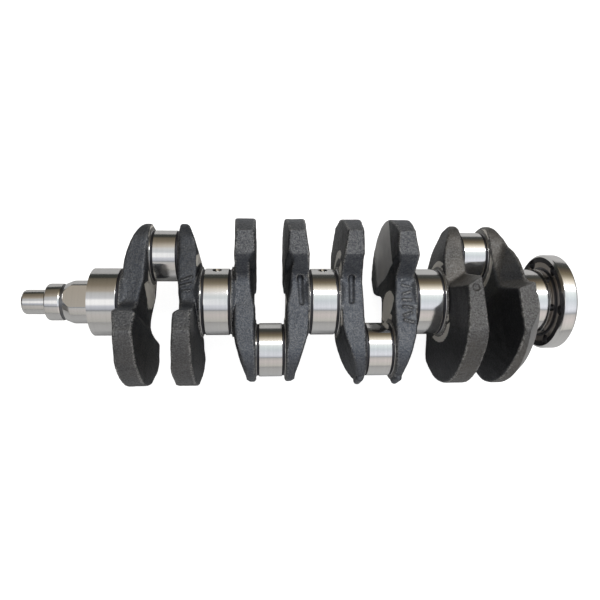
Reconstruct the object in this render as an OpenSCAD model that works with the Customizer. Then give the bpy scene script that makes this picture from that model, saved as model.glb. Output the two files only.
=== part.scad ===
// Forged four-throw crankshaft: five main journals, four crankpins and eight
// counterweighted webs, with a stepped nose in front and a flywheel flange behind.
// X runs along the shaft towards the flange, Y along the throws, Z across them.
// The origin is on the shaft's axis, at the middle of main journal 3.

/* [Journals] */
// Distance from one main journal to the next
bore_pitch = 86; // [84:0.5:90]
// Distance from the shaft's axis to a crankpin's axis, half the stroke
throw = 40.75; // [39:0.25:42]
// Main journal diameter
main_d = 55; // [52:0.5:56]
// Crankpin diameter
pin_d = 43; // [42:0.5:45]
// Main journal length from cheek to cheek
main_len = 24; // [23:0.5:25]
// Crankpin length from cheek to cheek
pin_len = 23; // [22:0.5:24]
// Width of the rolled fillet groove at each end of a journal
groove_w = 2.2; // [1.5:0.1:2.5]
// Depth of the rolled fillet groove
groove_depth = 0.8; // [0.4:0.1:1]

/* [Webs] */
// Radius of the counterweights
weight_r = 68.8; // [67:0.2:71]
// Half the width of a counterweight where its rim meets its flanks
weight_half_w = 56.2; // [55:0.2:58]
// Height of a standard counterweight's shoulder, below the shaft's axis
shoulder_y = 21.5; // [20:0.5:23]
// Half the width of a standard counterweight at its shoulder
shoulder_half_w = 49.5; // [48:0.5:51]
// Height of a wide counterweight's shoulder, below the shaft's axis
wide_shoulder_y = 4; // [3:0.5:6]
// Half the width of an arm
arm_half_w = 26.5; // [25.5:0.25:27.5]
// Radius of the arm's round end about the crankpin
arm_end_r = 25.7; // [24.5:0.1:26.5]
// Gap from a main journal's cheek to the counterweight's outer face
weight_setback = 2.3; // [1:0.1:3]
// Thickness left at the tip of an arm
arm_tip_t = 5.5; // [4.5:0.25:7]
// Forging draft of the faces, in degrees
draft = 2; // [1:0.25:2.5]
// Radius of the raised ring round a main journal
cheek_ring_r = 30.2; // [29.8:0.2:31.6]

/* [Nose] */
// Diameter of the pulley stub
stub_d = 20; // [19:0.5:21]
// Length of the pulley stub
stub_len = 19.5; // [18:0.5:22]
// Diameter of the timing wheel seat
seat_d = 30; // [29:0.5:31]
// Length of the timing wheel seat
seat_len = 12.2; // [11:0.1:14]
// Diameter of the pump drive collar
collar_d = 35; // [34:0.5:36]
// Length of the pump drive collar, with its cone and relief
collar_len = 25; // [24:0.5:27]
// Distance across the collar's two flats
across_flats = 30; // [29:0.5:31]
// Pulley bolt tapping hole diameter
nose_hole_d = 10.8; // [10:0.1:11]
// Pulley bolt hole depth
nose_hole_depth = 42; // [36:1:45]

/* [Flange] */
// Flange diameter, which is the rear oil seal's surface
flange_d = 80; // [79:0.5:82]
// Flange thickness
flange_t = 12.5; // [12:0.25:14]
// Length of the neck from the last journal's centre to the flange
neck_len = 15.8; // [15:0.1:17]
// Number of flywheel bolt holes
bolt_count = 6; // [6, 8]
// Diameter of the flywheel bolt circle
bolt_pcd = 68; // [67:0.25:68.5]
// Flywheel bolt tapping hole diameter
bolt_hole_d = 8.5; // [8:0.1:8.8]
// Pilot bore diameter for the gearbox shaft
pilot_d = 22; // [20:0.5:24]
// Pilot bore depth
pilot_depth = 14; // [12:1:18]

/* [Oil drillings] */
// Diameter of the oil drillings
oil_d = 5; // [4.5:0.25:5.5]
// Diameter of the countersunk mouths
oil_mouth_d = 8; // [7:0.5:9]

/* [Hidden] */
$fn = 96;
eps = 0.01;
main_r = main_d / 2;
pin_r = pin_d / 2;
edge_chamfer = 1;
// Distances along X from a web's own main journal centre
cheek_x = main_len / 2;
pin_x = bore_pitch / 2;
pin_cheek_x = pin_x - pin_len / 2;
weight_face_x = cheek_x + weight_setback;
// Stations of the nose, measured back from the front face of main journal 1
front_x = -2 * bore_pitch - cheek_x;
seat_x = front_x - collar_len;
stub_x = seat_x - seat_len;
nose_x = stub_x - stub_len;
seat_chamfer = 1.5;
seat_chamfer_run = 3;
nose_round = 3;
relief_len = 2.8;
cone_len = 5.4;
relief_r = seat_d / 2 + 0.3;
flat_lead = 3;
flat_len = 17;
// Arm, from the shaft's axis towards its crankpin
arm_tip_y = throw + arm_end_r;
taper_start_y = 30;
// How an arm spreads into its counterweight, and a shoulder into the arm
root_flare = 3;
root_drop = 9;
arm_drop = 17;
neck_run = 7;
neck_drop = 3;
// How far the ring round a main journal reaches into the web, and its foot on the counterweight
ring_overlap = 2;
ring_foot = 5;
// The round plate behind the last web's arm
plate_web = 8;
plate_front_r = 42;
plate_back_r = 49.5;
plate_t = 7.5;
// The corner where a counterweight's rim meets its flank
rim_corner_y = sqrt(weight_r ^ 2 - weight_half_w ^ 2);
// Stations of the flange
rear_x = 2 * bore_pitch;
flange_x = rear_x + neck_len;
flange_end_x = flange_x + flange_t;
recess_r = bolt_pcd / 2;
recess_depth = 1;
flange_chamfer = 1.5;
neck_step = 0.25;
// Oil drillings run straight from the far side of a main journal to its crankpin
oil_webs = [1, 3, 5, 7];
main_mouth_angle = -142;
pin_mouth_angle = 20;
long = 200;

function main_x(i) = (i - 3) * bore_pitch;
function pin_centre_x(i) = (i - 2.5) * bore_pitch;
function web_main(i) = floor(i / 2) + 1;
function web_pin(i) = ceil(i / 2);
function web_faces_forward(i) = i % 2 == 1;
function pin_is_up(i) = i == 1 || i == 4;
function is_wide(i) = i > 6;

// A solid of revolution about the X axis, from a list of [x, radius] points
module turned(profile) {
    rotate([0, 90, 0])
        rotate_extrude()
            polygon([for (p = profile) [p[1], p[0]]]);
}

// A cylinder along X from x0 to x1
module bar(x0, x1, r) {
    translate([x0, 0, 0])
        rotate([0, 90, 0])
            cylinder(h = x1 - x0, r = r);
}

// A journal centred at the origin, with a rolled groove beside each cheek
module journal(r, len) {
    half = len / 2;
    floor_r = r - groove_depth;
    slope = groove_w / 3;
    turned([
        [-half, 0], [-half, floor_r], [-half + groove_w - slope, floor_r], [-half + groove_w, r],
        [half - groove_w, r], [half - groove_w + slope, floor_r], [half, floor_r], [half, 0]]);
}

// Places a child that is drawn from its own main journal towards its crankpin on +Y
module at_web(i) {
    translate([main_x(web_main(i)), 0, 0])
        mirror([web_faces_forward(i) ? 0 : 1, 0, 0])
            rotate([pin_is_up(web_pin(i)) ? 0 : 180, 0, 0])
                children();
}

// A drilling from the main journal, through the web, to the crankpin
module oil_drilling() {
    a = [0, main_r * cos(main_mouth_angle), main_r * sin(main_mouth_angle)];
    b = [pin_x, throw + pin_r * cos(pin_mouth_angle), pin_r * sin(pin_mouth_angle)];
    run = b - a;
    reach = 8;
    translate(a)
        rotate([0, acos(run[2] / norm(run)), atan2(run[1], run[0])])
            translate([0, 0, -reach])
                cylinder(h = norm(run) + 2 * reach, d = oil_d);
    oil_mouth(0, 0, main_r, main_mouth_angle);
    oil_mouth(pin_x, throw, pin_r, pin_mouth_angle);
}

// The countersink where a drilling breaks out of a journal's surface
module oil_mouth(x, y, r, angle) {
    depth = (oil_mouth_d - oil_d) / 2;
    translate([x, y, 0])
        rotate([angle - 90, 0, 0])
            translate([0, 0, r - depth])
                cylinder(h = 2 * depth, d1 = oil_d, d2 = oil_d + 4 * depth);
}

// The outline of a web across the shaft: arm up, counterweight down
module web_outline(wide) {
    neck_y = wide ? wide_shoulder_y : shoulder_y;
    neck_w = wide ? weight_half_w : shoulder_half_w;
    root_w = arm_half_w + root_flare;
    translate([0, throw])
        circle(r = arm_end_r);
    polygon([
        [-arm_half_w, -shoulder_y], [arm_half_w, -shoulder_y],
        [arm_half_w, throw * 0.5], [arm_end_r, throw],
        [-arm_end_r, throw], [-arm_half_w, throw * 0.5]]);
    intersection() {
        circle(r = weight_r);
        polygon([
            [-weight_half_w, -weight_r], [weight_half_w, -weight_r],
            [weight_half_w, -rim_corner_y], [neck_w, -neck_y],
            [neck_w - neck_run, -neck_y + neck_drop], [root_w, -neck_y + root_drop],
            [arm_half_w, -neck_y + arm_drop],
            [-arm_half_w, -neck_y + arm_drop], [-root_w, -neck_y + root_drop],
            [-neck_w + neck_run, -neck_y + neck_drop],
            [-neck_w, -neck_y], [-weight_half_w, -rim_corner_y]]);
    }
}

// The web seen from the side: x from the main journal, y towards the crankpin
module web_side() {
    tip_x = pin_cheek_x - arm_tip_t;
    polygon([
        [pin_cheek_x, -weight_r], [weight_face_x, -weight_r],
        [weight_face_x, -cheek_ring_r], [cheek_x, -cheek_ring_r + ring_foot],
        [cheek_x, taper_start_y], [tip_x, arm_tip_y], [pin_cheek_x, arm_tip_y]]);
}

module web(i) {
    color("#3a3c40")
        at_web(i)
            difference() {
                union() {
                    intersection() {
                        rotate([90, 0, 90])
                            linear_extrude(long)
                                rotate(-90)
                                    web_outline(is_wide(i));
                        translate([0, 0, -long / 2])
                            linear_extrude(long)
                                web_side();
                        web_draft_wedge();
                    }
                    bar(cheek_x, weight_face_x + ring_overlap, cheek_ring_r);
                    if (i == plate_web)
                        translate([cheek_x + edge_chamfer, 0, 0])
                            rotate([0, 90, 0])
                                cylinder(h = plate_t, r1 = plate_front_r, r2 = plate_back_r);
                }
                if (search(i, oil_webs) != [])
                    oil_drilling();
            }
}

// The space between a web's two drafted faces, which lean in from the middle
module web_draft_wedge() {
    half = weight_half_w + 2;
    lean = half * tan(draft);
    rotate([90, 0, 0])
        translate([0, 0, -long / 2])
            linear_extrude(long)
                polygon([
                    [cheek_x, 0], [cheek_x + lean, half], [pin_cheek_x - lean, half],
                    [pin_cheek_x, 0], [pin_cheek_x - lean, -half], [cheek_x + lean, -half]]);
}

module main_journal(i) {
    color("#b9b9b4")
        difference() {
            translate([main_x(i), 0, 0])
                journal(main_r, main_len);
            for (w = oil_webs)
                if (web_main(w) == i)
                    at_web(w)
                        oil_drilling();
        }
}

module crankpin(i) {
    side = pin_is_up(i) ? 1 : -1;
    color("#b9b9b4")
        difference() {
            translate([pin_centre_x(i), side * throw, 0])
                journal(pin_r, pin_len);
            for (w = oil_webs)
                if (web_pin(w) == i)
                    at_web(w)
                        oil_drilling();
        }
}

module nose_stub() {
    r = stub_d / 2;
    color("#a8a8a4")
        difference() {
            turned([
                [nose_x, 0], [nose_x, r - nose_round * 0.6], [nose_x + nose_round * 0.4, r - nose_round * 0.2],
                [nose_x + nose_round, r], [stub_x, r], [stub_x, 0]]);
            bar(nose_x - eps, nose_x + nose_hole_depth, nose_hole_d / 2);
        }
}

module timing_wheel_seat() {
    r = seat_d / 2;
    color("#b4b4b0")
        difference() {
            turned([
                [stub_x, 0], [stub_x, r - seat_chamfer], [stub_x + seat_chamfer_run, r],
                [seat_x, r], [seat_x, 0]]);
            bar(nose_x - eps, nose_x + nose_hole_depth, nose_hole_d / 2);
        }
}

module pump_drive_collar() {
    cone_x = seat_x + relief_len;
    flat_x = seat_x + flat_lead;
    color("#8f9192")
        difference() {
            turned([
                [seat_x, 0], [seat_x, relief_r], [cone_x, relief_r],
                [cone_x + cone_len, collar_d / 2], [front_x, collar_d / 2], [front_x, 0]]);
            for (side = [-1, 1])
                translate([flat_x, -collar_d / 2, side > 0 ? across_flats / 2 : -collar_d])
                    cube([flat_len, collar_d, collar_d - across_flats / 2]);
            bar(nose_x - eps, nose_x + nose_hole_depth, nose_hole_d / 2);
        }
}

module flywheel_flange() {
    r = flange_d / 2;
    neck_r = main_r + neck_step;
    color("#b0b0aa")
        difference() {
            turned([
                [rear_x + cheek_x, 0], [rear_x + cheek_x, neck_r], [flange_x + recess_depth, neck_r],
                [flange_x + recess_depth, recess_r], [flange_x, recess_r],
                [flange_x, r - flange_chamfer], [flange_x + flange_chamfer, r], [flange_end_x - edge_chamfer, r],
                [flange_end_x, r - edge_chamfer], [flange_end_x, 0]]);
            for (k = [0 : bolt_count - 1])
                rotate([k * 360 / bolt_count, 0, 0])
                    translate([0, bolt_pcd / 2, 0])
                        bar(flange_x - eps, flange_end_x + eps, bolt_hole_d / 2);
            bar(flange_end_x - pilot_depth, flange_end_x + eps, pilot_d / 2);
        }
}

nose_stub();
timing_wheel_seat();
pump_drive_collar();
main_journal(1);  // main_journal_1
main_journal(2);  // main_journal_2
main_journal(3);  // main_journal_3
main_journal(4);  // main_journal_4
main_journal(5);  // main_journal_5
crankpin(1);  // crankpin_1
crankpin(2);  // crankpin_2
crankpin(3);  // crankpin_3
crankpin(4);  // crankpin_4
web(1);  // web_1
web(2);  // web_2
web(3);  // web_3
web(4);  // web_4
web(5);  // web_5
web(6);  // web_6
web(7);  // web_7
web(8);  // web_8
flywheel_flange();
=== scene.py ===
import math
import bpy
import numpy as np
from mathutils import Euler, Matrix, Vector


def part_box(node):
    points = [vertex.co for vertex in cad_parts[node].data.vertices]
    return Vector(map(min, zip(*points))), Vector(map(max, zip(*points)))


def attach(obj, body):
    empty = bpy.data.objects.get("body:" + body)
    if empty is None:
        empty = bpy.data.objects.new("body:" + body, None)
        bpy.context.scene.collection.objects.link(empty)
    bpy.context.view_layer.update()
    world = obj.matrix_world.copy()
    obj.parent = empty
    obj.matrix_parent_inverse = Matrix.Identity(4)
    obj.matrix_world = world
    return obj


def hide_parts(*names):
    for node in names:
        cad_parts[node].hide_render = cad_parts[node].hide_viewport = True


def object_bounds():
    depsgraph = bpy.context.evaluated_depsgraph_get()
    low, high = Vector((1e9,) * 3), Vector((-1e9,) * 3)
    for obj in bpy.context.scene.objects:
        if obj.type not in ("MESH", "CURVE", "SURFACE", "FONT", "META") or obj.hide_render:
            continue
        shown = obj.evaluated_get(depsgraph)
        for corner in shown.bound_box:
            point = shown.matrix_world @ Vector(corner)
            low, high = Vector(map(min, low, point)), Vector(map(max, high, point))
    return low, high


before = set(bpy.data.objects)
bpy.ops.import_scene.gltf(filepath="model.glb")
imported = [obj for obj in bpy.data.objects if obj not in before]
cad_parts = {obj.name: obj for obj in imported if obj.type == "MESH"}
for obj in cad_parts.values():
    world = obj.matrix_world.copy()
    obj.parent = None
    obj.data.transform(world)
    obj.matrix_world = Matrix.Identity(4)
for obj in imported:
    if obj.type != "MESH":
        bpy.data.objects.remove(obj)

cad_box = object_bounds()
MM = 0.001

# ---------------------------------------------------------------------------
# Sizes read from the frame, in millimetres
# ---------------------------------------------------------------------------


def node_box(node):
    low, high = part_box(node)
    return np.array(low) / MM, np.array(high) / MM


def span(node, axis):
    low, high = node_box(node)
    return high[axis] - low[axis]


def middle(node, axis):
    low, high = node_box(node)
    return (high[axis] + low[axis]) / 2


MAIN_X = [middle(f"main_journal_{i}", 0) for i in range(1, 6)]
PIN_X = [middle(f"crankpin_{i}", 0) for i in range(1, 5)]
PIN_Y = [middle(f"crankpin_{i}", 1) for i in range(1, 5)]
THROW = abs(PIN_Y[0])
MAIN_R = span("main_journal_1", 1) / 2
PIN_R = span("crankpin_1", 1) / 2
MAIN_LEN = span("main_journal_1", 0)
PIN_LEN = span("crankpin_1", 0)
MAIN_CHEEK = MAIN_LEN / 2
PIN_OFFSET = PIN_X[0] - MAIN_X[0]
PIN_CHEEK = PIN_OFFSET - PIN_LEN / 2
WEB_LOW, WEB_HIGH = node_box("web_1")
WEIGHT_R = -WEB_LOW[1]
ARM_TIP = WEB_HIGH[1]
ARM_END_R = ARM_TIP - THROW
WEIGHT_HALF_W = WEB_HIGH[2]
NOSE_X = node_box("nose_stub")[0][0]
STUB_X = node_box("nose_stub")[1][0]
SEAT_X = node_box("timing_wheel_seat")[1][0]
FRONT_X = node_box("pump_drive_collar")[1][0]
REAR_X = node_box("flywheel_flange")[0][0]
FLANGE_END = node_box("flywheel_flange")[1][0]
FLANGE_R = span("flywheel_flange", 1) / 2
FLANGE_T = 12.5
FLANGE_X = FLANGE_END - FLANGE_T
STUB_R = span("nose_stub", 1) / 2
SEAT_R = span("timing_wheel_seat", 1) / 2
COLLAR_R = span("pump_drive_collar", 1) / 2


# ---------------------------------------------------------------------------
# Node trees
# ---------------------------------------------------------------------------


class Graph:
    """Short calls for building a node tree."""

    def __init__(self, tree):
        self.tree = tree

    def add(self, kind, inputs=None, **settings):
        node = self.tree.nodes.new(kind)
        for key, value in settings.items():
            setattr(node, key, value)
        for key, value in (inputs or {}).items():
            self.feed(node.inputs[key], value)
        return node

    def feed(self, socket, value):
        if isinstance(value, bpy.types.NodeSocket):
            self.tree.links.new(value, socket)
        else:
            socket.default_value = value

    def math(self, operation, a, b=0.0, clamp=False):
        return self.add("ShaderNodeMath", {0: a, 1: b}, operation=operation, use_clamp=clamp).outputs[0]

    def mix(self, factor, a, b):
        node = self.add("ShaderNodeMix", data_type="RGBA")
        for name, value in (("Factor_Float", factor), ("A_Color", a), ("B_Color", b)):
            self.feed(next(s for s in node.inputs if s.identifier == name), value)
        return next(s for s in node.outputs if s.identifier == "Result_Color")

    def blend(self, factor, a, b):
        node = self.add("ShaderNodeMix", data_type="FLOAT")
        for name, value in (("Factor_Float", factor), ("A_Float", a), ("B_Float", b)):
            self.feed(next(s for s in node.inputs if s.identifier == name), value)
        return next(s for s in node.outputs if s.identifier == "Result_Float")

    def ramp(self, value, low, high):
        node = self.add("ShaderNodeMapRange", {"Value": value, "From Min": low, "From Max": high})
        return node.outputs["Result"]

    def noise(self, vector, scale, detail=2.0, rough=0.5):
        inputs = {"Vector": vector, "Scale": scale, "Detail": detail, "Roughness": rough}
        return self.add("ShaderNodeTexNoise", inputs).outputs["Fac"]


def rgb(r, g, b):
    return (r, g, b, 1.0)


def node_group(name, kind, inputs, outputs):
    """An empty node group with named sockets."""
    group = bpy.data.node_groups.new(name, kind)
    for label, socket_kind, value in inputs:
        socket = group.interface.new_socket(label, in_out="INPUT", socket_type=socket_kind)
        if value is not None:
            socket.default_value = value
    for label, socket_kind in outputs:
        group.interface.new_socket(label, in_out="OUTPUT", socket_type=socket_kind)
    g = Graph(group)
    return group, g, g.add("NodeGroupInput").outputs, g.add("NodeGroupOutput").inputs


# ---------------------------------------------------------------------------
# Materials
# ---------------------------------------------------------------------------


def shot_blast_group():
    """Fine pitting and broad unevenness of a blasted forging."""
    group, g, given, out = node_group(
        "shot_blast", "ShaderNodeTree",
        [("Pit scale", "NodeSocketFloat", 900.0), ("Strength", "NodeSocketFloat", 1.0)],
        [("Height", "NodeSocketFloat"), ("Speckle", "NodeSocketFloat"), ("Blotch", "NodeSocketFloat")])
    where = g.add("ShaderNodeTexCoord").outputs["Object"]
    fine = g.noise(where, given["Pit scale"], 3.0, 0.6)
    coarse = g.noise(where, g.math("MULTIPLY", given["Pit scale"], 0.55), 3.0, 0.55)
    blotch = g.noise(where, 45.0, 3.0, 0.6)
    height = g.math("ADD", g.math("MULTIPLY", fine, 0.6), coarse)
    g.feed(out["Height"], g.math("MULTIPLY", height, given["Strength"]))
    g.feed(out["Speckle"], g.ramp(g.math("ADD", fine, coarse), 0.85, 1.2))
    g.feed(out["Blotch"], g.ramp(blotch, 0.3, 0.7))
    return group


def turning_group():
    """Fine rings about the shaft, as a grinding wheel or a turning tool leaves them."""
    group, g, given, out = node_group(
        "turning_rings", "ShaderNodeTree",
        [("Line scale", "NodeSocketFloat", 4000.0)],
        [("Height", "NodeSocketFloat"), ("Streak", "NodeSocketFloat")])
    where = g.add("ShaderNodeTexCoord").outputs["Object"]
    axes = g.add("ShaderNodeSeparateXYZ", {0: where}).outputs
    rings = g.add("ShaderNodeCombineXYZ", {"X": axes["X"]}).outputs[0]
    fine = g.noise(rings, given["Line scale"], 2.0, 0.7)
    broad = g.noise(rings, g.math("MULTIPLY", given["Line scale"], 0.12), 2.0, 0.6)
    g.feed(out["Height"], fine)
    g.feed(out["Streak"], g.ramp(g.math("ADD", g.math("MULTIPLY", fine, 0.5), broad), 0.5, 1.1))
    return group


SHOT_BLAST = shot_blast_group()
TURNING = turning_group()


def new_material(name):
    material = bpy.data.materials.new(name)
    material.use_nodes = True
    g = Graph(material.node_tree)
    shader = next(n for n in material.node_tree.nodes if n.type == "BSDF_PRINCIPLED")
    return material, g, shader


def attribute(g, name):
    return g.add("ShaderNodeAttribute", attribute_name=name).outputs["Fac"]


def forged_steel():
    """Dark blasted forging skin, worn on its edges, with machined faces cut into it; painted shade darkens
    its creases, its side faces and the first webs' arms.
    """
    material, g, shader = new_material("forged_steel")
    blast = g.add("ShaderNodeGroup", node_tree=SHOT_BLAST)
    blast.inputs["Pit scale"].default_value = 1300.0
    speckle = blast.outputs["Speckle"]
    blotch = blast.outputs["Blotch"]
    wear = attribute(g, "wear")
    trimmed = attribute(g, "trimmed")
    milled = attribute(g, "milled")
    ground = attribute(g, "ground")
    painted_crease_shade = attribute(g, "painted_crease_shade")
    rust = attribute(g, "brown")
    skin = g.mix(blotch, rgb(0.066, 0.075, 0.095), rgb(0.100, 0.108, 0.125))
    rusty = g.mix(blotch, rgb(0.075, 0.069, 0.061), rgb(0.170, 0.153, 0.133))
    skin = g.mix(g.math("MULTIPLY", rust, 0.8), skin, rusty)
    skin = g.mix(g.math("MULTIPLY", speckle, 0.45), skin, rgb(0.24, 0.245, 0.25))
    sheared = g.mix(speckle, rgb(0.120, 0.122, 0.127), rgb(0.28, 0.28, 0.28))
    skin = g.mix(g.math("MULTIPLY", trimmed, 0.55), skin, sheared)
    # Painted shade: creases and recesses of the forging are darkened nearly to black.
    skin = g.mix(g.math("MULTIPLY", painted_crease_shade, 0.8), skin, rgb(0.010, 0.010, 0.014))
    chips = g.math("MULTIPLY", wear, g.ramp(speckle, 0.1, 0.7))
    skin = g.mix(g.math("MULTIPLY", chips, 0.95), skin, rgb(0.58, 0.57, 0.55))
    # Painted shade: faces that turn along the shaft, and the first webs' arms, are darkened nearly to black.
    skin = g.mix(g.math("MULTIPLY", attribute(g, "painted_side_shade"), 0.6), skin, rgb(0.014, 0.015, 0.018))
    skin = g.mix(milled, skin, g.mix(blotch, rgb(0.48, 0.48, 0.49), rgb(0.64, 0.63, 0.62)))
    # Ground faces are bright beige; this includes rings worn bright on some webs, painted bright only where
    # they catch the light, a painted highlight.
    skin = g.mix(ground, skin, rgb(0.90, 0.86, 0.79))
    g.feed(shader.inputs["Base Color"], skin)
    metal = g.blend(milled, g.blend(blotch, 0.62, 0.78), 0.35)
    g.feed(shader.inputs["Metallic"], g.blend(ground, metal, 0.25))
    rough = g.blend(speckle, 0.52, 0.40)
    rough = g.blend(milled, rough, 0.48)
    g.feed(shader.inputs["Roughness"], g.blend(ground, rough, 0.34))
    depth = g.math("SUBTRACT", 1.0, g.math("MAXIMUM", milled, ground), clamp=True)
    height = g.math("MULTIPLY", blast.outputs["Height"], g.math("ADD", depth, trimmed))
    bump = g.add("ShaderNodeBump", {"Height": height, "Strength": 0.8, "Distance": 0.0005})
    g.feed(shader.inputs["Normal"], bump.outputs["Normal"])
    return material


def bright_steel(name, light, dark, smooth, dull, ring_depth, line_scale=4000.0):
    """Ground or turned steel with rings about the shaft."""
    material, g, shader = new_material(name)
    rings = g.add("ShaderNodeGroup", node_tree=TURNING)
    rings.inputs["Line scale"].default_value = line_scale
    streak = rings.outputs["Streak"]
    colour = g.mix(streak, rgb(*dark), rgb(*light))
    # The fillet grooves are rougher, and painted shade darkens them nearly to black.
    rolled_groove_shade = g.math("MULTIPLY", g.ramp(attribute(g, "groove"), 0.0, 0.3), 0.96)
    g.feed(shader.inputs["Base Color"], g.mix(rolled_groove_shade, colour, rgb(0.05, 0.05, 0.06)))
    shader.inputs["Metallic"].default_value = 1.0
    g.feed(shader.inputs["Roughness"], g.blend(rolled_groove_shade, g.blend(streak, dull, smooth), 0.5))
    heights = {"Height": rings.outputs["Height"], "Strength": 0.4, "Distance": ring_depth}
    bump = g.add("ShaderNodeBump", heights)
    g.feed(shader.inputs["Normal"], bump.outputs["Normal"])
    return material


FORGED = forged_steel()
GROUND = bright_steel("ground_steel", (0.86, 0.85, 0.84), (0.76, 0.75, 0.74), 0.07, 0.13, 0.000002)
# Painted shade: undercuts, grooves, bores and bolt holes are given this dark steel.
RECESS_SHADE_STEEL = bright_steel("undercut_painted_shade", (0.30, 0.30, 0.31), (0.14, 0.14, 0.15), 0.30, 0.40, 0.00001, 2500.0)
# Darker steel on the flange's front face, outside the bolt circle.
FLANGE_DARK_FACE = bright_steel("flange_face", (0.10, 0.10, 0.105), (0.045, 0.045, 0.05), 0.40, 0.55,
                           0.00001, 2500.0)
# Painted reflection: the milled flat's steel is tinted blue, standing in for bluish light it mirrors.
MILLED_FLAT_PAINTED_REFLECTION = bright_steel("milled_flat_painted_reflection", (0.60, 0.77, 1.0), (0.46, 0.60, 0.84), 0.26, 0.36, 0.000008, 1800.0)
RECESS = bright_steel("recess_steel", (0.56, 0.51, 0.47), (0.36, 0.33, 0.30), 0.28, 0.4, 0.00001, 2500.0)


# ---------------------------------------------------------------------------
# Pieces
# ---------------------------------------------------------------------------


def finish_piece(piece, node):
    """Every piece rides on the one body and stands for its node."""
    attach(piece, "root")
    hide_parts(node)


def new_piece(name, points, faces, materials, sharp=None):
    mesh = bpy.data.meshes.new(name)
    mesh.from_pydata([tuple(p) for p in points], [], [tuple(int(i) for i in f) for f in faces])
    mesh.validate()
    for material in materials:
        mesh.materials.append(material)
    piece = bpy.data.objects.new(name, mesh)
    bpy.context.scene.collection.objects.link(piece)
    smooth(piece, sharp)
    return piece


def smooth(piece, sharp=None):
    piece.data.shade_smooth()
    if sharp:
        piece.data.set_sharp_from_angle(angle=math.radians(sharp))


def baked(piece):
    """Puts the result of a piece's modifiers in its mesh and takes the modifiers off."""
    bpy.context.view_layer.update()
    graph = bpy.context.evaluated_depsgraph_get()
    mesh = bpy.data.meshes.new_from_object(piece.evaluated_get(graph))
    piece.modifiers.clear()
    old = piece.data
    piece.data = mesh
    mesh.name = piece.name
    bpy.data.meshes.remove(old)


def cut(piece, cutter, sharp=35):
    modifier = piece.modifiers.new("cut", "BOOLEAN")
    modifier.operation = "DIFFERENCE"
    modifier.solver = "EXACT"
    modifier.object = cutter
    baked(piece)
    discard(cutter)
    smooth(piece, sharp)


def discard(piece):
    mesh = piece.data
    bpy.data.objects.remove(piece)
    bpy.data.meshes.remove(mesh)


def turned(name, profile, materials, centre_y=0.0, segments=160):
    """A solid turned about a line along X, from [x, radius, finish] points in millimetres."""
    angle = np.arange(segments) * 2 * np.pi / segments
    points = [(profile[0][0], centre_y, 0)]
    for x, r, _ in profile[1:-1]:
        points += [(x, centre_y + r * math.cos(a), r * math.sin(a)) for a in angle]
    points.append((profile[-1][0], centre_y, 0))
    last = len(points) - 1
    faces, finishes = [], []
    rings = len(profile) - 2
    for j in range(segments):
        k = (j + 1) % segments
        faces.append((0, 1 + k, 1 + j))
        finishes.append(profile[0][2])
        for i in range(rings - 1):
            a = 1 + i * segments
            b = a + segments
            faces.append((a + j, a + k, b + k, b + j))
            finishes.append(profile[i + 1][2])
        a = 1 + (rings - 1) * segments
        faces.append((a + j, a + k, last))
        finishes.append(profile[-2][2])
    piece = new_piece(name, np.array(points) * MM, faces, materials, 28)
    piece.data.polygons.foreach_set("material_index", finishes)
    return piece


def rounded(profile, steps=4):
    """Rounds the corners of [x, radius, finish, round] points."""
    out = []
    for i, (x, r, finish, size) in enumerate(profile):
        if not size:
            out.append((x, r, finish))
            continue
        here = Vector((x, r))
        before = Vector(profile[i - 1][:2]) - here
        after = Vector(profile[i + 1][:2]) - here
        a = here + before.normalized() * size
        b = here + after.normalized() * size
        for k in range(steps + 1):
            t = k / steps
            p = a * (1 - t) ** 2 + here * 2 * t * (1 - t) + b * t ** 2
            out.append((p[0], p[1], finish))
    return out


# ---------------------------------------------------------------------------
# Journals, each a swept line whose radius follows a rule
# ---------------------------------------------------------------------------


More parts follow.
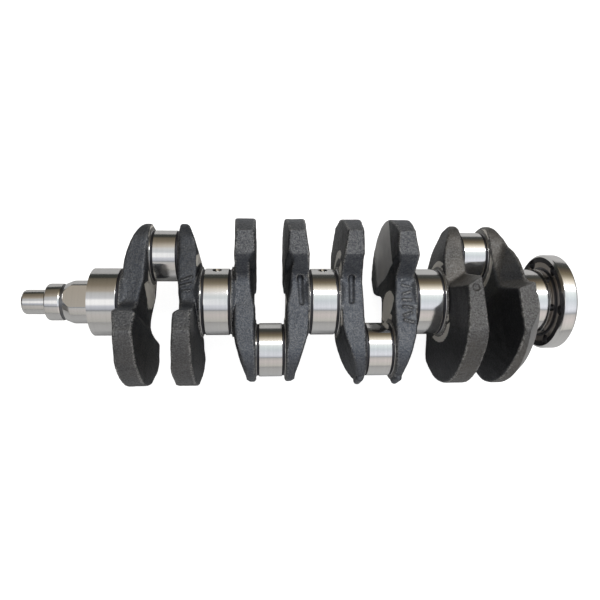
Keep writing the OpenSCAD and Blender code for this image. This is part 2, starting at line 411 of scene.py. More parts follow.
def journal_tree():
    """A cylinder along X with a roll-formed fillet groove at each end."""
    group, g, given, out = node_group(
        "ground_journal", "GeometryNodeTree",
        [("Geometry", "NodeSocketGeometry", None), ("Centre", "NodeSocketVector", (0, 0, 0)),
         ("Half length", "NodeSocketFloat", 0.012), ("Radius", "NodeSocketFloat", 0.0275),
         ("Groove centre", "NodeSocketFloat", 0.00135), ("Groove half width", "NodeSocketFloat", 0.0012),
         ("Groove depth", "NodeSocketFloat", 0.0008), ("Front groove", "NodeSocketFloat", 1.0),
         ("Rear groove", "NodeSocketFloat", 1.0), ("Rings", "NodeSocketInt", 97),
         ("Segments", "NodeSocketInt", 128), ("Material", "NodeSocketMaterial", None)],
        [("Geometry", "NodeSocketGeometry")])
    start = g.add("ShaderNodeCombineXYZ", {"X": g.math("MULTIPLY", given["Half length"], -1.0)})
    end = g.add("ShaderNodeCombineXYZ", {"X": given["Half length"]})
    line = g.add("GeometryNodeMeshLine", mode="END_POINTS", count_mode="TOTAL")
    g.feed(line.inputs["Count"], given["Rings"])
    g.feed(line.inputs["Start Location"], start.outputs[0])
    g.feed(line.inputs["Offset"], end.outputs[0])
    x = g.add("ShaderNodeSeparateXYZ", {0: g.add("GeometryNodeInputPosition").outputs[0]}).outputs["X"]
    from_end = g.math("SUBTRACT", given["Half length"], g.math("ABSOLUTE", x))
    off = g.math("ABSOLUTE", g.math("SUBTRACT", from_end, given["Groove centre"]))
    share = g.math("SUBTRACT", 1.0, g.math("DIVIDE", off, given["Groove half width"]), clamp=True)
    groove = g.add("ShaderNodeMapRange", {"Value": share, "From Max": 0.6}, interpolation_type="SMOOTHSTEP")
    behind = g.math("GREATER_THAN", x, 0.0)
    kept = g.math("ADD", g.math("MULTIPLY", behind, given["Rear groove"]),
                  g.math("MULTIPLY", g.math("SUBTRACT", 1.0, behind), given["Front groove"]))
    cut_share = g.math("MULTIPLY", groove.outputs["Result"], kept)
    depth = g.math("MULTIPLY", cut_share, given["Groove depth"])
    radius = g.math("SUBTRACT", given["Radius"], depth)
    stored = g.add("GeometryNodeStoreNamedAttribute", data_type="FLOAT", domain="POINT")
    g.feed(stored.inputs["Geometry"], line.outputs["Mesh"])
    g.feed(stored.inputs["Name"], "groove")
    g.feed(stored.inputs["Value"], cut_share)
    curve = g.add("GeometryNodeMeshToCurve", {"Mesh": stored.outputs["Geometry"]})
    circle = g.add("GeometryNodeCurvePrimitiveCircle", {"Resolution": given["Segments"], "Radius": 1.0})
    sweep = g.add("GeometryNodeCurveToMesh", {"Curve": curve.outputs["Curve"], "Scale": radius})
    g.feed(sweep.inputs["Profile Curve"], circle.outputs["Curve"])
    g.feed(sweep.inputs["Fill Caps"], True)
    placed = g.add("GeometryNodeTransform", {"Geometry": sweep.outputs["Mesh"]})
    g.feed(placed.inputs["Translation"], given["Centre"])
    real = g.add("GeometryNodeRealizeInstances", {"Geometry": placed.outputs["Geometry"]})
    final = g.add("GeometryNodeSetMaterial", {"Geometry": real.outputs["Geometry"]})
    g.feed(final.inputs["Material"], given["Material"])
    g.feed(out["Geometry"], final.outputs["Geometry"])
    return group


def grown(name, tree, values):
    """A piece made by a node tree, with its inputs set by name."""
    mesh = bpy.data.meshes.new(name)
    piece = bpy.data.objects.new(name, mesh)
    bpy.context.scene.collection.objects.link(piece)
    modifier = piece.modifiers.new("shape", "NODES")
    modifier.node_group = tree
    sockets = {s.name: s.identifier for s in tree.interface.items_tree if s.in_out == "INPUT"}
    for label, value in values.items():
        modifier[sockets[label]] = value
    baked(piece)
    return piece


JOURNAL = journal_tree()
# How far a journal runs into its webs, and where its groove lies from its end
JOURNAL_OVERLAP = 0.3
GROOVE_CENTRE = 1.75
OIL_R = 2.5
OIL_MOUTH_R = 4.0
# How far a drill reaches outside and inside its mouth
DRILL_OUT = 8
DRILL_IN = 30
MAIN_MOUTH = math.radians(-142)
PIN_MOUTH = math.radians(20)


def journal_piece(node, name, radius, length):
    centre = (middle(node, 0) * MM, middle(node, 1) * MM, 0)
    piece = grown(name, JOURNAL, {
        "Centre": centre, "Half length": (length / 2 + JOURNAL_OVERLAP) * MM, "Radius": radius * MM,
        "Groove centre": GROOVE_CENTRE * MM, "Front groove": 0.0 if node == "main_journal_1" else 1.0,
        "Rear groove": 0.0 if node == "main_journal_5" else 1.0, "Material": GROUND})
    smooth(piece, 50)
    return piece


def cone_between(name, a, b, ra, rb, material, segments=40):
    """A closed cone frustum from point a to point b, in millimetres."""
    a, b = Vector(a), Vector(b)
    turn = (b - a).to_track_quat("Z", "Y")
    points = []
    for end, r in ((a, ra), (b, rb)):
        for k in range(segments):
            t = 2 * math.pi * k / segments
            points.append((end + turn @ Vector((r * math.cos(t), r * math.sin(t), 0))) * MM)
    faces = [(k, (k + 1) % segments, segments + (k + 1) % segments, segments + k) for k in range(segments)]
    faces.append(tuple(reversed(range(segments))))
    faces.append(tuple(range(segments, 2 * segments)))
    return new_piece(name, points, faces, [material])


def drill_ends(number):
    """Where the drilling through an odd web leaves its main journal and its crankpin."""
    up = 1 if PIN_Y[(number + 1) // 2 - 1] > 0 else -1
    main_y = up * MAIN_R * math.cos(MAIN_MOUTH)
    main = Vector((MAIN_X[number // 2], main_y, up * MAIN_R * math.sin(MAIN_MOUTH)))
    y = up * (THROW + PIN_R * math.cos(PIN_MOUTH))
    pin = Vector((PIN_X[(number + 1) // 2 - 1], y, up * PIN_R * math.sin(PIN_MOUTH)))
    return main, pin, up


def drill(piece, number, at_main):
    """Cuts one oil drilling and its countersunk mouth in a journal."""
    main, pin, up = drill_ends(number)
    mouth = main if at_main else pin
    far = pin if at_main else main
    out = Vector((0, mouth.y - (0 if at_main else up * THROW), mouth.z)).normalized()
    along = (far - mouth).normalized()
    start, end = mouth - along * DRILL_OUT, mouth + along * DRILL_IN
    cut(piece, cone_between("drill", start, end, OIL_R, OIL_R, GROUND), 40)
    depth = OIL_MOUTH_R - OIL_R
    sink = cone_between("sink", mouth - out * depth, mouth + out * depth, OIL_R, OIL_R + 2 * depth, GROUND)
    cut(piece, sink, 40)


def make_journals():
    for i in range(1, 6):
        node = f"main_journal_{i}"
        piece = journal_piece(node, f"ground_main_{i}", MAIN_R, MAIN_LEN)
        if i < 5:
            drill(piece, 2 * i - 1, True)
        finish_piece(piece, node)
    for i in range(1, 5):
        node = f"crankpin_{i}"
        piece = journal_piece(node, f"ground_crankpin_{i}", PIN_R, PIN_LEN)
        drill(piece, 2 * i - 1, False)
        finish_piece(piece, node)


# ---------------------------------------------------------------------------
# Nose and flange
# ---------------------------------------------------------------------------

NOSE_HOLE_R = 5.4
NOSE_HOLE_DEPTH = 42
# The collar's relief groove, cone, undercut and flats, from the wheel seat's end or the shaft's axis
RELIEF_DEPTH = 1.0
CONE_START = 2.8
CONE_LEN = 5.4
UNDERCUT_LEN = 0.9
UNDERCUT_DEPTH = 0.8
FLAT_HALF = 15
FLAT_END = 21.5


def make_nose():
    hole = NOSE_HOLE_R
    stub = rounded([
        (NOSE_X, 0, 0, 0), (NOSE_X, STUB_R, 0, 3.2), (STUB_X - 1.2, STUB_R, 1, 0),
        (STUB_X - 1.2, STUB_R - 0.5, 1, 0), (STUB_X + 0.3, STUB_R - 0.5, 0, 0), (STUB_X + 0.3, 0, 0, 0)])
    seat = rounded([
        (STUB_X, 0, 0, 0), (STUB_X, SEAT_R, 0, 2.0), (SEAT_X - 0.8, SEAT_R, 0, 0.4),
        (SEAT_X, SEAT_R - 0.4, 1, 0), (SEAT_X, 0, 0, 0)])
    relief = SEAT_R + 0.3
    cone = SEAT_X + CONE_START
    groove_r = relief - RELIEF_DEPTH
    undercut = FRONT_X - UNDERCUT_LEN
    collar = rounded([
        (SEAT_X, 0, 0, 0), (SEAT_X, groove_r, 1, 0), (cone - 0.4, groove_r, 1, 0),
        (cone, relief, 0, 0.3), (cone + CONE_LEN, COLLAR_R, 0, 1.2),
        (undercut, COLLAR_R, 1, 0), (undercut, COLLAR_R - UNDERCUT_DEPTH, 1, 0),
        (FRONT_X, COLLAR_R - UNDERCUT_DEPTH, 0, 0), (FRONT_X, 0, 0, 0)])
    pieces = [("turned_stub", "nose_stub", stub), ("turned_wheel_seat", "timing_wheel_seat", seat),
              ("milled_pump_collar", "pump_drive_collar", collar)]
    for name, node, profile in pieces:
        piece = turned(name, profile, [GROUND, RECESS_SHADE_STEEL])
        if node == "pump_drive_collar":
            for side in (-1, 1):
                cut(piece, flat_cutter(side), 20)
        end = NOSE_X + NOSE_HOLE_DEPTH
        start = NOSE_X - 1
        cut(piece, cone_between("bore", (start, 0, 0), (end, 0, 0), hole, hole, RECESS_SHADE_STEEL), 20)
        if node == "nose_stub":
            sink = cone_between("sink", (start, 0, 0), (NOSE_X + 1.2, 0, 0), hole + 2.2, hole - 0.1, RECESS_SHADE_STEEL)
            cut(piece, sink, 20)
        finish_piece(piece, node)


def flat_cutter(side):
    """A block that mills one of the pump drive flats."""
    outside = COLLAR_R + 2
    low = (SEAT_X + CONE_START, -outside, FLAT_HALF if side > 0 else -outside)
    high = (SEAT_X + FLAT_END, outside, outside if side > 0 else -FLAT_HALF)
    corner = [(x, y, z) for x in (low[0], high[0]) for y in (low[1], high[1]) for z in (low[2], high[2])]
    faces = [(0, 1, 3, 2), (4, 6, 7, 5), (0, 4, 5, 1), (2, 3, 7, 6), (0, 2, 6, 4), (1, 5, 7, 3)]
    return new_piece("flat", np.array(corner) * MM, faces, [MILLED_FLAT_PAINTED_REFLECTION])


BOLT_R = 34.0
BOLT_HOLE_R = 4.25
PILOT_R = 11.0
PILOT_DEPTH = 14.0
NECK_STEP = 0.25


def bolt_circle_tree():
    """Drills of one size, spaced evenly on a circle about the X axis."""
    group, g, given, out = node_group(
        "bolt_circle", "GeometryNodeTree",
        [("Geometry", "NodeSocketGeometry", None), ("Station", "NodeSocketFloat", 0.19),
         ("Circle radius", "NodeSocketFloat", 0.034), ("Hole radius", "NodeSocketFloat", 0.004),
         ("Reach", "NodeSocketFloat", 0.02), ("Count", "NodeSocketInt", 6),
         ("Material", "NodeSocketMaterial", None)],
        [("Geometry", "NodeSocketGeometry")])
    circle = g.add("GeometryNodeMeshCircle", {"Vertices": given["Count"], "Radius": given["Circle radius"]})
    tool = g.add("GeometryNodeMeshCylinder", {"Vertices": 40, "Radius": given["Hole radius"]})
    g.feed(tool.inputs["Depth"], given["Reach"])
    copies = g.add("GeometryNodeInstanceOnPoints", {"Points": circle.outputs["Mesh"]})
    g.feed(copies.inputs["Instance"], tool.outputs["Mesh"])
    shift = g.add("ShaderNodeCombineXYZ", {"X": given["Station"]})
    turn = g.add("GeometryNodeTransform", {"Geometry": copies.outputs["Instances"]})
    turn.inputs["Rotation"].default_value = (math.radians(90), 0, math.radians(90))
    g.feed(turn.inputs["Translation"], shift.outputs[0])
    real = g.add("GeometryNodeRealizeInstances", {"Geometry": turn.outputs["Geometry"]})
    final = g.add("GeometryNodeSetMaterial", {"Geometry": real.outputs["Geometry"]})
    g.feed(final.inputs["Material"], given["Material"])
    g.feed(out["Geometry"], final.outputs["Geometry"])
    return group


def make_flange():
    neck = MAIN_R + NECK_STEP
    face = FLANGE_X
    profile = rounded([
        (REAR_X - JOURNAL_OVERLAP, 0, 0, 0), (REAR_X - JOURNAL_OVERLAP, neck, 0, 0),
        (face - 0.8, neck, 2, 0), (face + 1.4, neck, 2, 0),
        (face + 1.0, neck + 1.8, 3, 0), (face + 1.0, BOLT_R - 0.4, 3, 0), (face, BOLT_R, 1, 0),
        (face, FLANGE_R - 1.8, 0, 0), (face + 1.6, FLANGE_R, 0, 0.5), (FLANGE_END - 1.2, FLANGE_R, 0, 0.5),
        (FLANGE_END, FLANGE_R - 1.2, 0, 0), (FLANGE_END, PILOT_R + 1, 0, 0), (FLANGE_END - 1, PILOT_R, 0, 0),
        (FLANGE_END - PILOT_DEPTH, PILOT_R, 2, 0), (FLANGE_END - PILOT_DEPTH - 4, 0, 2, 0)])
    piece = turned("turned_flange", profile, [GROUND, FLANGE_DARK_FACE, RECESS_SHADE_STEEL, RECESS], segments=192)
    drills = grown("bolt_drills", bolt_circle_tree(), {
        "Station": (FLANGE_X + FLANGE_END) / 2 * MM, "Circle radius": BOLT_R * MM,
        "Hole radius": BOLT_HOLE_R * MM, "Reach": 22 * MM, "Count": 6, "Material": RECESS_SHADE_STEEL})
    cut(piece, drills, 20)
    finish_piece(piece, "flywheel_flange")


# ---------------------------------------------------------------------------
# Meshes from fields: a field is below zero inside the solid, in millimetres
# ---------------------------------------------------------------------------


def smooth_max(a, b, k):
    """The larger of two fields, with a round of about radius k where they meet."""
    h = np.maximum(k - np.abs(a - b), 0) / k
    return np.maximum(a, b) + h * h * k / 4


def smooth_min(a, b, k):
    return -smooth_max(-a, -b, k)


def smooth_step(x, low, high):
    t = np.clip((x - low) / (high - low), 0, 1)
    return t * t * (3 - 2 * t)


def surface_net(field, low, high, step):
    """Vertices and quads of the field's zero surface, on a grid from low to high."""
    axes = [np.arange(a, b + step, step) for a, b in zip(low, high)]
    grid = np.meshgrid(*axes, indexing="ij")
    value = field(*grid)
    inside = value < 0
    cells = tuple(n - 1 for n in value.shape)
    total = np.zeros(cells + (3,))
    count = np.zeros(cells)
    corner = [(i, j, k) for i in (0, 1) for j in (0, 1) for k in (0, 1)]
    part = {c: tuple(slice(d, d + n) for d, n in zip(c, cells)) for c in corner}
    for a in corner:
        for axis in range(3):
            if a[axis]:
                continue
            b = tuple(1 if i == axis else a[i] for i in range(3))
            va, vb = value[part[a]], value[part[b]]
            crossed = inside[part[a]] != inside[part[b]]
            t = np.where(crossed, va / np.where(crossed, va - vb, 1), 0)
            for i in range(3):
                at = a[i] + (t if i == axis else 0)
                total[..., i] += np.where(crossed, at, 0)
            count += crossed
    used = count > 0
    index = np.full(cells, -1)
    index[used] = np.arange(used.sum())
    where = np.argwhere(used)
    points = (where + total[used] / count[used][:, None]) * step + np.array([a[0] for a in axes])
    quads = []
    for axis in range(3):
        i, j = [(1, 2), (2, 0), (0, 1)][axis]
        first = [slice(1, n) for n in cells]
        first[axis] = slice(0, cells[axis])
        here = tuple(first)
        ahead = list(first)
        ahead[axis] = slice(1, cells[axis] + 1)
        a, b = inside[here], inside[tuple(ahead)]

        def shifted(di, dj):
            s = [slice(1, n) for n in cells]
            s[axis] = slice(0, cells[axis])
            s[i] = slice(1 - di, cells[i] - di)
            s[j] = slice(1 - dj, cells[j] - dj)
            return index[tuple(s)]

        ring = np.stack([shifted(0, 0), shifted(1, 0), shifted(1, 1), shifted(0, 1)], -1)
        quads.append(ring[a & ~b])
        quads.append(ring[b & ~a][:, ::-1])
    return points, np.concatenate(quads)


def field_slope(field, points, reach=0.05):
    """The field's gradient at the points."""
    p = points.T
    slope = []
    for axis in range(3):
        d = np.zeros((3, 1))
        d[axis] = reach
        slope.append((field(*(p + d)) - field(*(p - d))) / (2 * reach))
    return np.stack(slope, -1)


def settle_on_surface(field, points, limit, rounds=2):
    """Moves vertices on to the field's zero surface, each by no more than the limit."""
    for _ in range(rounds):
        slope = field_slope(field, points)
        size = np.maximum((slope ** 2).sum(1), 1e-6)
        move = -field(*points.T)[:, None] * slope / size[:, None]
        length = np.maximum(np.linalg.norm(move, axis=1, keepdims=True), 1e-9)
        points = points + move * np.minimum(1, limit / length)
    return points


def ripple(u, y, z, size, seed):
    """A smooth uneven pattern between about -1 and 1."""
    rng = np.random.default_rng(seed)
    total = 0
    for _ in range(6):
        way = rng.normal(size=3)
        way /= np.linalg.norm(way)
        phase = rng.uniform(0, 2 * np.pi)
        pitch = size * rng.uniform(0.7, 1.6)
        total = total + np.sin((way[0] * u + way[1] * y + way[2] * z) * 2 * np.pi / pitch + phase)
    return total / 3


def capsule(u, y, z, a, b, radius):
    """Distance to a rod from a to b."""
    a, b = np.array(a, float), np.array(b, float)
    run = b - a
    t = ((u - a[0]) * run[0] + (y - a[1]) * run[1] + (z - a[2]) * run[2]) / max(run @ run, 1e-9)
    t = np.clip(t, 0, 1)
    du, dy, dz = u - a[0] - t * run[0], y - a[1] - t * run[1], z - a[2] - t * run[2]
    return np.sqrt(du ** 2 + dy ** 2 + dz ** 2) - radius


# ---------------------------------------------------------------------------
# Webs
# ---------------------------------------------------------------------------

FLANK_TOP = math.sqrt(WEIGHT_R ** 2 - WEIGHT_HALF_W ** 2)
# The shoulder of a counterweight: below the shaft's axis, and from the shaft's plane
SHOULDER = (21.5, 49.5)
WIDE_SHOULDER = (4.0, WEIGHT_HALF_W)
ARM_HALF_W = 26.5
RING_R = 29.4
EDGE_ROUND = 2.2
GRID_STEP = 0.7
# A forging stays this far inside its outline, and a field this low takes nothing away
OUTLINE_GAP = 0.3
FACE_GAP = 0.15
NOTHING = -9
# The plate behind web 8's arm, widest at PLATE_U from its main journal's centre
PLATE_R = 49.5
PLATE_FRONT_R = 41.5
PLATE_U = 18.5
# How much painted shade darkens the arms of the first webs, and how the wide webs' shoulders lean
ARM_PAINTED_SHADE = {1: 0.35, 2: 0.6}
SHOULDER_TILT = {7: 0.67, 8: -0.35}
# Rings worn bright on the main journal's side, painted bright only on the arcs that catch the light, a
# painted highlight: inner and outer radius, least |y|, and sides
RUBBED_LIT_ARCS = {2: (32.5, 40.0, 22, [1]), 5: (36.5, 43.0, 30, [-1]), 7: (29.8, 34.5, 25, [1, -1])}
FACING_R = {1: 33.3, 2: 40.0, 3: 33.3, 4: 33.3, 5: 41.0, 6: 34.0, 7: 33.5, 8: 33.5}
WAIST = {1: 1.0, 2: 1.0, 3: 1.0, 4: 1.0, 5: 0.15, 6: 0.6, 7: 0.0, 8: 0.0}
HUB_EDGE = {1: 13.2, 2: 15.6, 3: 15.0, 4: 12.6, 5: 13.0, 6: 12.8, 7: 13.4, 8: 13.4}
# Where each counterweight's flank starts and ends, from its main journal's centre
FLANK_SPAN = {1: (17.4, 31.2), 2: (14.2, 27.8), 3: (16.0, 31.0), 4: (15.8, 29.3),
              5: (15.9, 28.9), 6: (16.7, 30.5), 7: (15.0, 31.4), 8: (13.4, 28.5)}


def half_plane(a, b, p, q):
    """Distance to the right of the line from a to b, where p and q are the coordinates."""
    dx, dy = b[0] - a[0], b[1] - a[1]
    length = math.hypot(dx, dy)
    return ((p - a[0]) * dy - (q - a[1]) * dx) / length


class Web:
    """One web, drawn from its main journal (u = 0) towards its crankpin (y above 0)."""

    def __init__(self, number):
        self.number = number
        self.main_x = MAIN_X[number // 2]
        self.pin = (number + 1) // 2 - 1
        self.forward = 1 if number % 2 else -1
        self.up = 1 if PIN_Y[self.pin] > 0 else -1
        self.wide = number > 6
        self.square = 2.6 if self.up > 0 else 2.1

    def outline(self, y, z, rise=0.0):
        v, w = -y, np.abs(z)
        power = self.square
        beyond = np.maximum(y - THROW, 0)
        end = (beyond ** power + w ** power) ** (1 / power) - ARM_END_R
        side = w - ARM_HALF_W + (ARM_HALF_W - ARM_END_R) * np.clip(y / THROW, 0, 1)
        arm = np.where(y < THROW, side, end)
        arm = smooth_max(arm, v - 30, 1.0)
        corner = WIDE_SHOULDER if self.wide else SHOULDER
        flank = half_plane((FLANK_TOP, WEIGHT_HALF_W), corner, v, w)
        inner = (corner[0] - 3.0, corner[1] - 7.0)
        shoulder = half_plane(corner, inner, v + rise, w)
        weight = smooth_max(np.hypot(v, w) - WEIGHT_R, smooth_max(flank, shoulder, 1.0), 1.2)
        return smooth_min(arm, weight, 3.0 if self.wide else 6.0)

    def forging(self, u, y, z):
        v, w = -y, np.abs(z)
        start, stop = FLANK_SPAN[self.number]
        if self.number == 7:
            start = start + 3.4 * (1 - smooth_step(v, 12, 42))
        side = np.minimum(w / ARM_HALF_W, 1)
        waist = smooth_step(v, -14, 8) * (1 - smooth_step(v, 19, 25)) * (1.2 + 2.0 * side ** 2)
        waist = waist + 1.2 * side ** 3 * smooth_step(v, -48, -40) * (1 - smooth_step(v, 19, 25))
        flat_end = PIN_CHEEK - FACE_GAP
        pin_face = u - flat_end + (flat_end - stop) * np.maximum(w - 28, 0) / 28
        pin_face = pin_face + WAIST[self.number] * waist
        hub_middle = MAIN_CHEEK + 0.3
        hub = hub_middle + (HUB_EDGE[self.number] - hub_middle) * side ** 2
        set_back = MAIN_CHEEK + 2.8
        weight_face = set_back + (start - set_back) * np.maximum(w - 34, 0) / 22
        low = smooth_step(v, 18, 40)
        if self.wide:
            low = np.maximum(low, smooth_step(w, 28, 40) * smooth_step(v, -6, 6))
        main_face = hub + (weight_face - hub) * low - u
        low_slope = half_plane((22.0, 59.5), (13.0, 30), u, y)
        high_slope = half_plane((26.0, 67), (20.6, 56.2), u, y)
        slope = smooth_max(low_slope, high_slope, 3.0)
        body = smooth_max(smooth_max(pin_face, main_face, 1.0), slope, 3.0)
        flash = 0.35 * np.exp(-(z / 1.4) ** 2)
        edge = self.outline(y, z, SHOULDER_TILT.get(self.number, 0) * (u - 20))
        if self.number == 8:
            front = 0.55 * (np.hypot(y, z) - PLATE_FRONT_R - 1.5 * (u - 13))
            back = 0.5 * (np.hypot(y, z) - PLATE_R + 1.7 * (u - PLATE_U))
            edge = smooth_min(edge, smooth_max(front, back, 2.0), 5.0)
        uneven = 0.16 * ripple(u, y, z, 16, 3 + self.number) + 0.06 * ripple(u, y, z, 5, 30 + self.number)
        return smooth_max(edge + OUTLINE_GAP - flash, body, EDGE_ROUND) + uneven

    def cuts(self, u, y, z):
        """Machined faces, as fields that are above zero where metal is taken away."""
        v, r = -y, np.hypot(y, z)
        pin_r = np.hypot(y - THROW, z)
        facing = np.minimum(MAIN_CHEEK + 1.2 - u, FACING_R[self.number] - r)
        pin_facing = np.minimum(u - (PIN_CHEEK - 0.45), (31 if self.number == 1 else 29) - pin_r)
        oval = 8 * (1 - np.hypot((y - 4) / 11, z / 23))
        pad = np.minimum(u - (PIN_CHEEK - 1.5), oval if WAIST[self.number] else NOTHING)
        pin_facing = np.maximum(pin_facing, pad)
        milled = facing * 0 + NOTHING
        if self.number == 8:
            milled = r - 58.5 - 0.9 * (u - 12.5)
        if self.number == 6:
            edge = 30 - np.abs(z)
            milled = np.minimum(u - (PIN_CHEEK - 0.9), np.minimum(v - 20, edge))
        return facing, pin_facing, milled

    def rings(self, u, y, z):
        """The raised rings that stand against the journals."""
        r, pin_r = np.hypot(y, z), np.hypot(y - THROW, z)
        lean = 0.8 * (r - RING_R + 0.7 * (u - MAIN_CHEEK))
        main = np.maximum(np.maximum(lean, MAIN_CHEEK - u), u - PIN_CHEEK + 4)
        pin = np.maximum(np.maximum(pin_r - PIN_R - 2.4, u - PIN_CHEEK), MAIN_CHEEK + 12 - u)
        return np.minimum(main, pin)

    def marks(self, solid, u, y, z):
        """Grooves, pips and the hardness dimple on the flank that faces the front light."""
        near = z * self.up
        side = ARM_HALF_W - 0.3
        if self.number == 4:
            groove = capsule(u, y, near, (19.5, -13, side + 0.9), (18.6, 9, side + 0.9), 2.2)
            solid = smooth_max(solid, -groove, 1.2)
        if self.number == 5:
            groove = capsule(u, y, near, (21.8, -12, side + 0.9), (21.2, 8, side + 0.9), 2.2)
            solid = smooth_max(solid, -groove, 1.2)
        if self.number == 6:
            for k in range(8):
                row = -16 + k * 5.8
                lean = 1.1 * math.sin(2.4 * k)
                a = (17.2 + 0.4 * lean, row - lean, side)
                b = (23.4, row + lean, side)
                solid = smooth_min(solid, capsule(u, y, near, a, b, 0.95), 0.8)
        if self.number in (5, 6):
            lip = capsule(u, y, z, (27.5, 65.6, -6), (27.5, 65.6, 7), 3.0)
            solid = smooth_min(solid, lip, 1.5)
        if self.number == 2:
            for a, b in (((19, 12, side), (26.5, 9, side)), ((19.5, 6.5, side), (27, 4, side)),
                         ((20, 0.5, side), (25, 0, side))):
                solid = smooth_min(solid, capsule(u, y, near, a, b, 1.0), 0.8)
        if self.number == 7:
            deep, shallow = (25, -6.8, WEIGHT_HALF_W + 1.2), (25, -6.8, WEIGHT_HALF_W + 1.3)
            dimple = capsule(u, y, near, deep, shallow, 3.2)
            solid = smooth_max(solid, -dimple, 0.5)
        return solid

    def field(self, u, y, z):
        solid = self.marks(self.forging(u, y, z), u, y, z)
        for cut_field in self.cuts(u, y, z):
            solid = np.maximum(solid, cut_field)
        return smooth_min(solid, self.rings(u, y, z), 1.2)

    def mesh(self):
        low = (MAIN_CHEEK - 3, -WEIGHT_R - 3, -WEIGHT_HALF_W - 3)
        high = (PIN_CHEEK + 3, ARM_TIP + 5, WEIGHT_HALF_W + 3)
        points, quads = surface_net(self.field, low, high, GRID_STEP)
        points = settle_on_surface(self.field, points, GRID_STEP * 0.6)
        inside = np.array([200, WEIGHT_R - 0.02, WEIGHT_HALF_W - 0.02])
        return np.clip(points, -inside, inside), quads

    def attributes(self, points):
        """How worn, trimmed, milled or ground the surface is at each vertex, and how much painted shade
        darkens its creases and side faces.
        """
        p = points.T
        slope = field_slope(self.field, points, 0.4)
        slope /= np.maximum(np.linalg.norm(slope, axis=1, keepdims=True), 1e-6)
        reach = 1.6
        edge_reach = 1.2
        inner = self.field(*(points - slope * edge_reach).T)
        outer = self.field(*(points + slope * reach * 1.5).T)
        wear = np.clip((inner + edge_reach) / edge_reach * 5 - 0.9, 0, 1)
        weight_side = smooth_step(-points[:, 1], 8, 22)
        wear = wear * (0.35 + 0.65 * weight_side)
        # Painted shade in the creases: the more metal lies just outside a vertex, the darker its colour.
        painted_crease_shade = np.clip((reach * 1.5 - outer) / reach * 1.2 - 0.1, 0, 1)
        painted_crease_shade = painted_crease_shade * (0.3 if self.number == 8 else 1)
        facing, pin_facing, milled_cut = self.cuts(*p)
        skin = self.marks(self.forging(*p), *p)
        depth = smooth_step(-skin, 0.02, 0.22)
        faced = np.maximum(facing, pin_facing) > -FACE_GAP
        ground = depth * faced
        ring_face = (points[:, 0] < MAIN_CHEEK + 0.35) | (points[:, 0] > PIN_CHEEK - 0.35)
        # A ring worn bright, painted bright only on the arcs that catch the light: partly wear, partly a
        # painted highlight.
        if self.number in RUBBED_LIT_ARCS:
            inner_r, outer_r, least, sides = RUBBED_LIT_ARCS[self.number]
            r = np.hypot(p[1], p[2])
            beyond = np.max([p[1] * side for side in sides], axis=0) > least
            rubbed_lit_arc = (r > inner_r) & (r < outer_r) & beyond & (slope[:, 0] < -0.6)
            ground = np.maximum(ground, 0.9 * rubbed_lit_arc)
        ground = np.maximum(ground, 0.25 * ((self.rings(*p) < 0.15) & (skin > 0.1) & ring_face))
        milled = depth * ((milled_cut > -FACE_GAP) & ~faced) * (0.4 if self.number == 8 else 1)
        trimmed = smooth_step(np.abs(slope[:, 2]), 0.6, 0.95) * smooth_step(np.abs(points[:, 2]), 40, 48)
        # Painted shade: faces that turn along the shaft, and the arms of the first webs away from the weight,
        # are darkened in colour.
        painted_side_shade = smooth_step(np.abs(slope[:, 0]), 0.75, 0.95)
        painted_side_shade = np.maximum(painted_side_shade, ARM_PAINTED_SHADE.get(self.number, 0) * (1 - weight_side))
        if self.number == 8:
            painted_side_shade = painted_side_shade * (1 - smooth_step(points[:, 1], -6, 6))
            painted_crease_shade = painted_crease_shade * (1 - smooth_step(points[:, 1], -6, 6))
        brown = np.full(len(points), 0.0)
        if self.number < 3:
            brown = 0.7 * smooth_step(-points[:, 1], 30, 46)
        if self.wide:
            brown = 0.35 + 0.65 * smooth_step(np.abs(slope[:, 2]) + np.abs(slope[:, 1]), 0.6, 0.9)
        return {"wear": wear, "painted_crease_shade": painted_crease_shade, "trimmed": trimmed, "milled": milled, "ground": ground,
                "brown": brown, "painted_side_shade": painted_side_shade}

    def place(self, points):
        """From the web's own millimetres to the row's frame, in metres."""
        x = self.main_x + self.forward * points[:, 0]
        return np.stack([x, self.up * points[:, 1], self.up * points[:, 2]], 1) * MM


def add_attribute(piece, name, values):
    layer = piece.data.attributes.new(name, "FLOAT", "POINT")
    layer.data.foreach_set("value", np.asarray(values, np.float32))


def make_web(number):
    web = Web(number)
    points, quads = web.mesh()
    if web.forward < 0:
        quads = quads[:, ::-1]
    piece = new_piece(f"forged_web_{number}", web.place(points), quads, [FORGED])
    for name, values in web.attributes(points).items():
        add_attribute(piece, name, values)
    finish_piece(piece, f"web_{number}")


# ---------------------------------------------------------------------------
# Floor, light and camera
# ---------------------------------------------------------------------------


def floor_material():
    material, g, shader = new_material("pale_floor")
    shader.inputs["Base Color"].default_value = rgb(0.62, 0.62, 0.62)
    shader.inputs["Roughness"].default_value = 0.9
    shader.inputs["Emission Color"].default_value = rgb(1, 1, 1)
    seen = g.add("ShaderNodeLightPath").outputs["Is Camera Ray"]
    g.feed(shader.inputs["Emission Strength"], g.math("MULTIPLY", seen, 0.9))
    return material


def make_floor():
    mesh = bpy.data.meshes.new("floor")
    half = 6.0
    height = cad_box[0][2] - 0.0002
    corners = [(-half, -half, height), (half, -half, height), (half, half, height), (-half, half, height)]
    mesh.from_pydata(corners, [], [(0, 1, 2, 3)])
    mesh.materials.append(floor_material())
    floor = bpy.data.objects.new("floor", mesh)
    bpy.context.scene.collection.objects.link(floor)


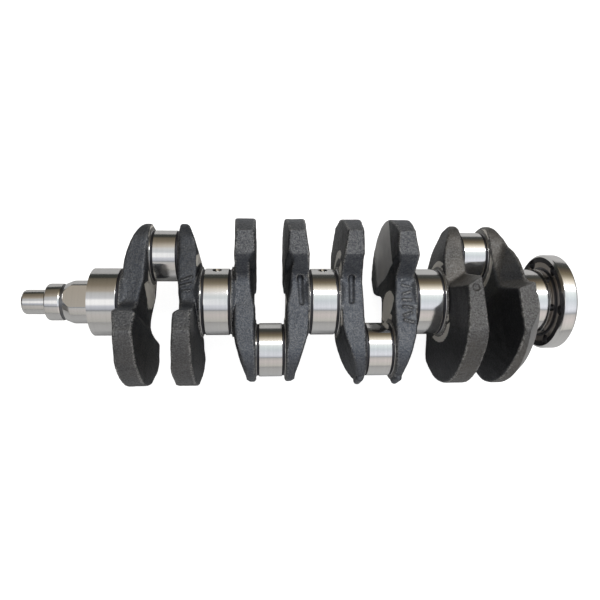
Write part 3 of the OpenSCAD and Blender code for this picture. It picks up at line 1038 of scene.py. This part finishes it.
# The room's light by angle from straight up, towards +Y: degrees, then red, green and blue
ROOM = [(-180, 0.05, 0.05, 0.05), (-150, 0.06, 0.06, 0.06), (-125, 0.10, 0.10, 0.10),
        (-106, 0.29, 0.29, 0.29), (-84, 0.55, 0.535, 0.50), (-64, 0.62, 0.57, 0.555),
        (-51, 0.52, 0.50, 0.48), (-47, 0.30, 0.31, 0.33), (-43, 0.62, 0.64, 0.69),
        (-36, 0.78, 0.80, 0.86), (-16, 0.65, 0.70, 0.74), (2, 0.82, 0.885, 0.885),
        (10, 1.1, 1.1, 1.1), (24, 1.02, 0.98, 0.90), (33, 0.72, 0.65, 0.54),
        (43, 0.32, 0.28, 0.21), (51, 0.18, 0.15, 0.10), (62, 0.10, 0.08, 0.06),
        (74, 0.05, 0.052, 0.045), (88, 0.08, 0.08, 0.08), (100, 0.45, 0.45, 0.45),
        (180, 0.2, 0.2, 0.2)]
# The same towards the nose, where the bright band sits nearer the front
ROOM_NOSE = [(-180, 0.05, 0.05, 0.05), (-125, 0.15, 0.15, 0.15), (-106, 0.36, 0.36, 0.36),
             (-84, 0.55, 0.54, 0.51), (-64, 0.62, 0.59, 0.57), (-51, 0.60, 0.60, 0.59),
             (-47, 0.26, 0.27, 0.29), (-42, 0.55, 0.57, 0.62), (-32, 0.70, 0.72, 0.78),
             (-26, 1.2, 1.2, 1.2), (-12, 1.2, 1.2, 1.2), (-6, 0.72, 0.73, 0.76),
             (12, 0.60, 0.60, 0.59), (19, 0.48, 0.43, 0.36), (40, 0.27, 0.23, 0.175),
             (66, 0.16, 0.14, 0.105), (72, 0.05, 0.052, 0.045), (88, 0.06, 0.065, 0.06),
             (100, 0.45, 0.45, 0.45), (180, 0.2, 0.2, 0.2)]


# The X directions between which the room turns to its nose side, and fades towards the shaft's ends
NOSE_TURN = (0.02, -0.24)
END_FADE = (0.55, 0.85)
NOSE_END_LOSS = 0.62
FLANGE_END_LOSS = 0.9
# How much brighter the room gets towards the flange
FLANGE_GAIN = 0.4
BACKDROP = 0.93


def room_ramp(g, share, room):
    """A colour ramp through a room table's stops."""
    ramp = g.add("ShaderNodeValToRGB", {"Fac": share})
    stops = ramp.color_ramp.elements
    while len(stops) < len(room):
        stops.new(0.5)
    for stop, (angle, *colour) in zip(stops, room):
        stop.position = (angle + 180) / 360
    for stop, (angle, *colour) in zip(stops, room):
        stop.color = rgb(*colour)
    return ramp.outputs["Color"]


def make_world():
    world = bpy.data.worlds.new("studio")
    world.use_nodes = True
    bpy.context.scene.world = world
    g = Graph(world.node_tree)
    background = next(n for n in world.node_tree.nodes if n.type == "BACKGROUND")
    way = g.add("ShaderNodeTexCoord").outputs["Generated"]
    axes = g.add("ShaderNodeSeparateXYZ", {0: way}).outputs
    turn = g.math("ARCTAN2", axes["Y"], axes["Z"])
    share = g.ramp(turn, -math.pi, math.pi)
    nose_side = g.ramp(axes["X"], *NOSE_TURN)
    light = g.mix(nose_side, room_ramp(g, share, ROOM), room_ramp(g, share, ROOM_NOSE))
    aside = g.ramp(g.math("ABSOLUTE", axes["X"]), *END_FADE)
    loss = g.blend(g.math("GREATER_THAN", axes["X"], 0.0), NOSE_END_LOSS, FLANGE_END_LOSS)
    dim = g.math("SUBTRACT", 1.0, g.math("MULTIPLY", aside, loss))
    room = g.mix(dim, rgb(0, 0, 0), light)
    seen = g.add("ShaderNodeLightPath").outputs["Is Camera Ray"]
    g.feed(background.inputs["Color"], g.mix(seen, room, rgb(BACKDROP, BACKDROP, BACKDROP)))
    strength = g.math("SUBTRACT", FLANGE_GAIN, g.math("MULTIPLY", seen, FLANGE_GAIN))
    lean = g.math("MULTIPLY", axes["X"], strength)
    g.feed(background.inputs["Strength"], g.math("ADD", 1.0, lean))


def make_softbox():
    """A long soft panel over the shaft."""
    light = bpy.data.lights.new("softbox", "AREA")
    light.shape = "RECTANGLE"
    light.size = 1.1
    light.size_y = 0.22
    light.energy = 5.5
    lamp = bpy.data.objects.new("softbox", light)
    x, y, z = 0.46, 0.30, 1.15
    lamp.location = (x, y, z)
    lamp.rotation_euler = (math.atan2(-y, -z) + math.pi, 0, 0)
    bpy.context.scene.collection.objects.link(lamp)


def make_camera():
    data = bpy.data.cameras.new("camera")
    data.lens = 32.226
    data.sensor_width = 36.0
    camera = bpy.data.objects.new("camera", data)
    camera.location = (-0.04986, -0.13805, 0.42650)
    camera.rotation_euler = Euler([math.radians(a) for a in (18.16605, -3.84503, -1.30727)], "XYZ")
    bpy.context.scene.collection.objects.link(camera)
    bpy.context.scene.camera = camera


make_journals()
make_nose()
make_flange()
for number in range(1, 9):
    make_web(number)
make_floor()
make_world()
make_softbox()
make_camera()
bpy.context.scene.view_settings.view_transform = "Standard"
